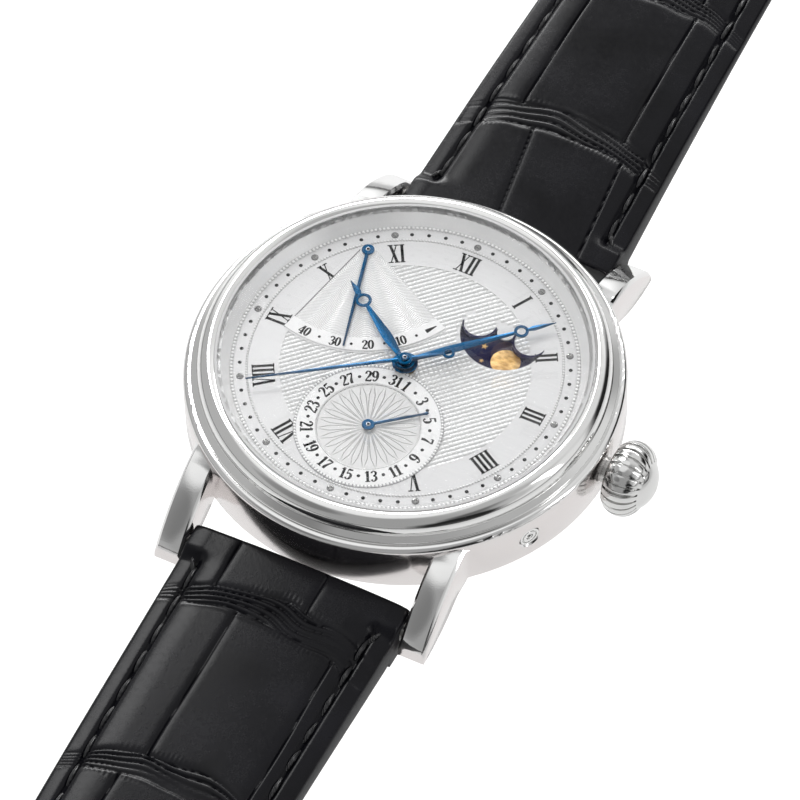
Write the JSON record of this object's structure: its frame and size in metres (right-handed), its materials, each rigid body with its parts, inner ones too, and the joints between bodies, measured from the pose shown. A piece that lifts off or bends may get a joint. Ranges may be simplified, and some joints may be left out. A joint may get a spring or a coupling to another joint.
{
  "type": "moon phase wristwatch",
  "caption": "Round dress wristwatch with moon window, pointer date, power reserve hand, see-through back, fluted crown and a two-piece leather strap with pin buckle.",
  "frame": {"origin": "on the case axis, in the plane of the case back that the watch lies on", "axes": "+Z out through the front crystal, +Y to 12 o'clock along the strap, +X to the crown at 3 o'clock"},
  "size_m": [0.0461, 0.2491, 0.0125],
  "materials": {
    "case_middle": "polished",
    "bezel": "polished",
    "front_crystal": "clear",
    "crystal_gasket": "matte",
    "rehaut_ring": "polished",
    "dial": "silvered, engine turned",
    "movement_holder": "brushed",
    "case_back_ring": "polished",
    "back_crystal": "clear",
    "back_gasket": "matte",
    "crown_tube": "polished",
    "crown": "polished",
    "winding_stem": "brushed",
    "winding_pinion": "brushed",
    "sliding_clutch": "brushed",
    "crown_wheel": "brushed",
    "ratchet_wheel": "brushed",
    "barrel_arbor": "brushed",
    "mainspring_barrel": "gilt",
    "mainspring": "brushed",
    "main_plate": "rhodium plated, striped",
    "calendar_plate": "rhodium plated, striped",
    "barrel_bridge": "rhodium plated, striped",
    "train_bridge": "rhodium plated, striped",
    "pallet_bridge": "rhodium plated, striped",
    "balance_cock": "rhodium plated, striped",
    "centre_wheel": "gilt",
    "cannon_pinion": "brushed",
    "third_wheel": "gilt",
    "fourth_wheel": "gilt",
    "escape_wheel": "brushed",
    "pallet_fork": "brushed",
    "balance_wheel": "gilt",
    "hairspring": "heat blued steel",
    "rotor": "rhodium plated, striped",
    "rotor_bearing": "brushed",
    "hour_wheel": "gilt",
    "minute_wheel": "gilt",
    "date_wheel": "gilt",
    "moon_disc": "blue lacquer with gilt moons",
    "hour_hand": "heat blued steel",
    "minute_hand": "heat blued steel",
    "seconds_hand": "heat blued steel",
    "date_hand": "heat blued steel",
    "power_reserve_hand": "heat blued steel",
    "corrector_pusher": "polished",
    "spring_bar_tubes": "brushed",
    "spring_bar_pin_12_right": "brushed",
    "spring_bar_pin_12_left": "brushed",
    "spring_bar_pin_6_right": "brushed",
    "spring_bar_pin_6_left": "brushed",
    "strap_short": "semi-gloss, alligator grain",
    "strap_short_lining": "smooth",
    "strap_long": "semi-gloss, alligator grain",
    "strap_long_lining": "smooth",
    "fixed_keeper": "semi-gloss, alligator grain",
    "free_keeper": "semi-gloss, alligator grain",
    "buckle_frame": "polished",
    "buckle_tongue": "polished",
    "buckle_pin": "brushed"
  },
  "bodies": {
    "case": {"case_middle": "case_middle", "bezel": "bezel", "front_crystal": "front_crystal", "crystal_gasket": "crystal_gasket", "rehaut_ring": "rehaut_ring", "dial": "dial", "movement_holder": "movement_holder", "case_back_ring": "case_back_ring", "back_crystal": "back_crystal", "back_gasket": "back_gasket", "crown_tube": "crown_tube", "main_plate": "main_plate", "calendar_plate": "calendar_plate", "barrel_bridge": "barrel_bridge", "train_bridge": "train_bridge", "pallet_bridge": "pallet_bridge", "balance_cock": "balance_cock", "hairspring": "hairspring", "rotor_bearing": "rotor_bearing", "spring_bar_tubes": "spring_bar_tubes"},
    "seconds_works": {"seconds_hand": "seconds_hand", "fourth_wheel": "fourth_wheel"},
    "minute_works": {"minute_hand": "minute_hand", "cannon_pinion": "cannon_pinion", "centre_wheel": "centre_wheel"},
    "hour_works": {"hour_hand": "hour_hand", "hour_wheel": "hour_wheel"},
    "motion_wheel": {"minute_wheel": "minute_wheel"},
    "third_works": {"third_wheel": "third_wheel"},
    "barrel_works": {"mainspring_barrel": "mainspring_barrel", "mainspring": "mainspring"},
    "escape_works": {"escape_wheel": "escape_wheel"},
    "winding_works": {"winding_pinion": "winding_pinion", "sliding_clutch": "sliding_clutch"},
    "crown_works": {"crown": "crown", "winding_stem": "winding_stem"},
    "crown_wheel_works": {"crown_wheel": "crown_wheel"},
    "ratchet_works": {"ratchet_wheel": "ratchet_wheel", "barrel_arbor": "barrel_arbor"},
    "date_works": {"date_hand": "date_hand", "date_wheel": "date_wheel"},
    "moon_works": {"moon_disc": "moon_disc"},
    "reserve_works": {"power_reserve_hand": "power_reserve_hand"},
    "rotor_works": {"rotor": "rotor"},
    "fork_works": {"pallet_fork": "pallet_fork"},
    "balance_works": {"balance_wheel": "balance_wheel"},
    "corrector": {"corrector_pusher": "corrector_pusher"},
    "short_strap": {"strap_short": "strap_short", "strap_short_lining": "strap_short_lining", "fixed_keeper": "fixed_keeper", "buckle_pin": "buckle_pin"},
    "long_strap": {"strap_long": "strap_long", "strap_long_lining": "strap_long_lining"},
    "sliding_keeper": {"free_keeper": "free_keeper"},
    "buckle": {"buckle_frame": "buckle_frame"},
    "tongue": {"buckle_tongue": "buckle_tongue"},
    "pin_12_right": {"spring_bar_pin_12_right": "spring_bar_pin_12_right"},
    "pin_12_left": {"spring_bar_pin_12_left": "spring_bar_pin_12_left"},
    "pin_6_right": {"spring_bar_pin_6_right": "spring_bar_pin_6_right"},
    "pin_6_left": {"spring_bar_pin_6_left": "spring_bar_pin_6_left"}
  },
  "joints": [
    {"name": "seconds_hand_turn", "type": "hinge", "parent": "case", "child": "seconds_works", "pos_m": [0, 0, 0.005], "axis": [0, 0, 1], "continuous": true},
    {"name": "minute_hand_turn", "type": "hinge", "parent": "case", "child": "minute_works", "pos_m": [0, 0, 0.005], "axis": [0, 0, 1], "continuous": true},
    {"name": "hour_hand_turn", "type": "hinge", "parent": "case", "child": "hour_works", "pos_m": [0, 0, 0.005], "axis": [0, 0, 1], "continuous": true},
    {"name": "minute_wheel_turn", "type": "hinge", "parent": "case", "child": "motion_wheel", "pos_m": [0.00312, 0, 0.005], "axis": [0, 0, 1], "continuous": true},
    {"name": "third_wheel_turn", "type": "hinge", "parent": "case", "child": "third_works", "pos_m": [-0.00427, 0, 0.005], "axis": [0, 0, 1], "continuous": true},
    {"name": "barrel_turn", "type": "hinge", "parent": "case", "child": "barrel_works", "pos_m": [0.00293, 0.00507, 0.005], "axis": [0, 0, 1], "continuous": true},
    {"name": "escape_wheel_turn", "type": "hinge", "parent": "case", "child": "escape_works", "pos_m": [0.00108, -0.00404, 0.005], "axis": [0, 0, 1], "continuous": true},
    {"name": "crown_turn", "type": "hinge", "parent": "case", "child": "winding_works", "pos_m": [0.0116, 0, 0.0059], "axis": [1, 0, 0], "continuous": true},
    {"name": "crown_pull", "type": "slide", "parent": "winding_works", "child": "crown_works", "axis": [1, 0, 0], "range_m": [0, 0.0012]},
    {"name": "crown_wheel_turn", "type": "hinge", "parent": "case", "child": "crown_wheel_works", "pos_m": [0.0096, 0, 0.005], "axis": [0, 0, 1], "continuous": true},
    {"name": "ratchet_wheel_turn", "type": "hinge", "parent": "case", "child": "ratchet_works", "pos_m": [0.00293, 0.00507, 0.005], "axis": [0, 0, 1], "continuous": true},
    {"name": "date_hand_turn", "type": "hinge", "parent": "case", "child": "date_works", "pos_m": [0, -0.00755, 0.005], "axis": [0, 0, 1], "continuous": true},
    {"name": "moon_disc_turn", "type": "hinge", "parent": "case", "child": "moon_works", "pos_m": [0.00665, 0.0074, 0.005], "axis": [0, 0, 1], "continuous": true},
    {"name": "power_reserve_swing", "type": "hinge", "parent": "case", "child": "reserve_works", "pos_m": [-0.00905, 0.01045, 0.005], "axis": [0, 0, 1], "range_deg": [-27, 45]},
    {"name": "rotor_turn", "type": "hinge", "parent": "case", "child": "rotor_works", "pos_m": [0, 0, 0.0022], "axis": [0, 0, 1], "continuous": true},
    {"name": "pallet_fork_swing", "type": "hinge", "parent": "case", "child": "fork_works", "pos_m": [0.00272, -0.00599, 0.005], "axis": [0, 0, 1], "range_deg": [-5, 5]},
    {"name": "balance_swing", "type": "hinge", "parent": "case", "child": "balance_works", "pos_m": [0.00551, -0.00932, 0.005], "axis": [0, 0, 1], "range_deg": [-270, 270]},
    {"name": "corrector_push", "type": "slide", "parent": "case", "child": "corrector", "axis": [-0.866, 0.5, 0], "range_m": [0, 0.0005], "stiffness_N_per_m": 400},
    {"name": "strap_short_swing", "type": "hinge", "parent": "case", "child": "short_strap", "pos_m": [0, 0.02255, 0.00325], "axis": [1, 0, 0], "range_deg": [-75, 8]},
    {"name": "strap_long_swing", "type": "hinge", "parent": "case", "child": "long_strap", "pos_m": [0, -0.02255, 0.00325], "axis": [1, 0, 0], "range_deg": [-8, 75]},
    {"name": "free_keeper_slide", "type": "slide", "parent": "short_strap", "child": "sliding_keeper", "axis": [0, 1, 0], "range_m": [-0.008, 0.005]},
    {"name": "buckle_frame_swing", "type": "hinge", "parent": "short_strap", "child": "buckle", "pos_m": [0, 0.09755, 0.0023], "axis": [1, 0, 0], "range_deg": [-90, 35]},
    {"name": "buckle_tongue_swing", "type": "hinge", "parent": "buckle", "child": "tongue", "pos_m": [0, 0.09755, 0.0023], "axis": [1, 0, 0], "range_deg": [0, 75]},
    {"name": "pin_12_right_push", "type": "slide", "parent": "case", "child": "pin_12_right", "axis": [-1, 0, 0], "range_m": [0, 0.0011], "stiffness_N_per_m": 300},
    {"name": "pin_12_left_push", "type": "slide", "parent": "case", "child": "pin_12_left", "axis": [1, 0, 0], "range_m": [0, 0.0011], "stiffness_N_per_m": 300},
    {"name": "pin_6_right_push", "type": "slide", "parent": "case", "child": "pin_6_right", "axis": [-1, 0, 0], "range_m": [0, 0.0011], "stiffness_N_per_m": 300},
    {"name": "pin_6_left_push", "type": "slide", "parent": "case", "child": "pin_6_left", "axis": [1, 0, 0], "range_m": [0, 0.0011], "stiffness_N_per_m": 300}
  ],
  "couplings": [
    {"joint": "minute_hand_turn", "follows": "seconds_hand_turn", "ratio": 0.016667},
    {"joint": "hour_hand_turn", "follows": "seconds_hand_turn", "ratio": 0.0013889},
    {"joint": "minute_wheel_turn", "follows": "seconds_hand_turn", "ratio": -0.0055556},
    {"joint": "third_wheel_turn", "follows": "seconds_hand_turn", "ratio": -0.13333},
    {"joint": "barrel_turn", "follows": "seconds_hand_turn", "ratio": -0.0020833},
    {"joint": "escape_wheel_turn", "follows": "seconds_hand_turn", "ratio": -12},
    {"joint": "crown_wheel_turn", "follows": "crown_turn", "ratio": -0.5},
    {"joint": "ratchet_wheel_turn", "follows": "crown_turn", "ratio": 0.46429}
  ]
}
